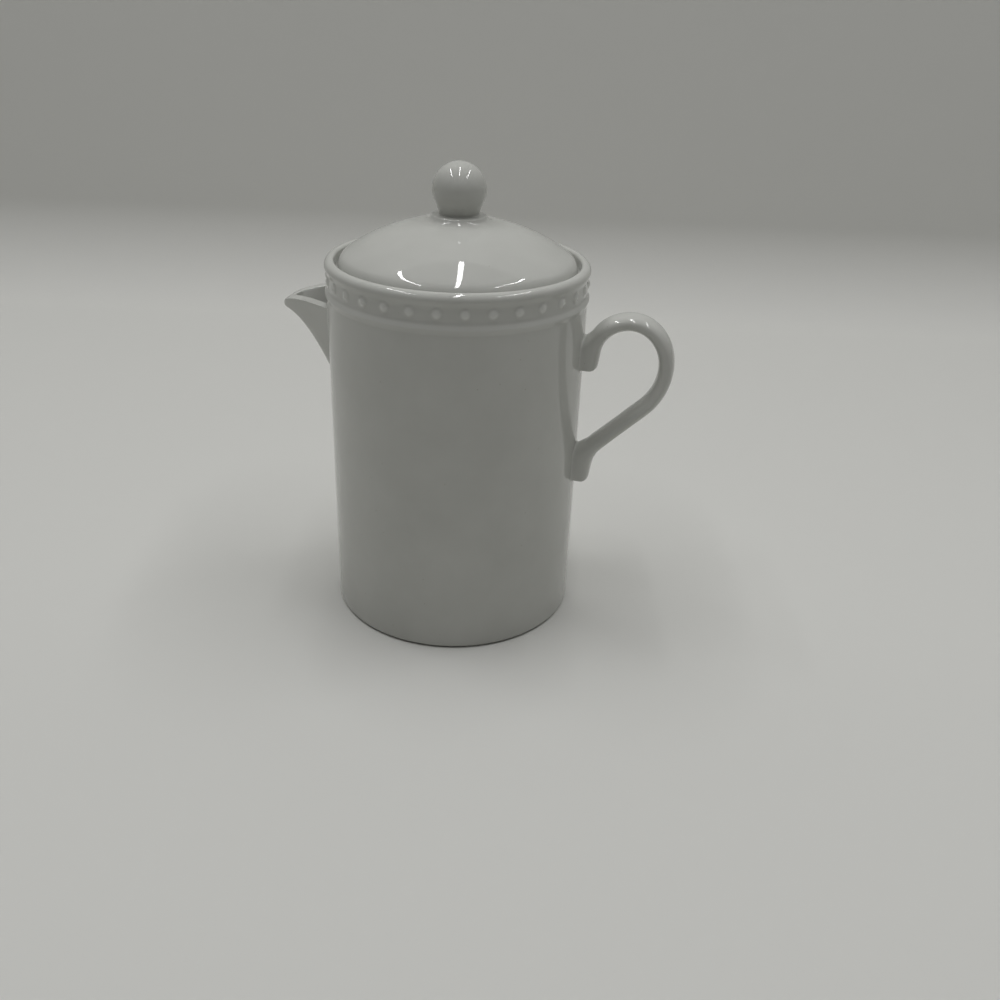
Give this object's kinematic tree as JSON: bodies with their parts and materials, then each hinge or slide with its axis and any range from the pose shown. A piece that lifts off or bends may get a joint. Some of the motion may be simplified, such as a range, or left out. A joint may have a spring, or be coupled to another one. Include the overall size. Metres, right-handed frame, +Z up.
{
  "type": "lidded creamer",
  "caption": "Small straight-sided porcelain pot with a wide pouring beak, a loop handle, a pearl band under the lip and an inset domed lid with a ball knob; holds and pours cream or milk.",
  "frame": {"origin": "On the table under the middle of the whole object's box, which is midway between the tip of the beak and the back of the handle. The pot's own axis is 5.125 mm towards the beak from it.", "axes": "+X from the beak to the handle, +Y across, +Z up."},
  "size_m": [0.116, 0.075, 0.1334],
  "materials": {
    "pot_glaze": "clear gloss glaze over white porcelain, bare on the foot ring",
    "lid_glaze": "clear gloss glaze over white porcelain"
  },
  "bodies": {
    "pot": {"body": "pot_glaze", "spout": "pot_glaze", "handle": "pot_glaze"},
    "lid": {"lid": "lid_glaze", "lid_knob": "lid_glaze"}
  },
  "joints": [
    {"name": "lid_lift", "type": "slide", "parent": "pot", "child": "lid", "axis": [0, 0, 1], "range_m": [0, 0.08]}
  ]
}
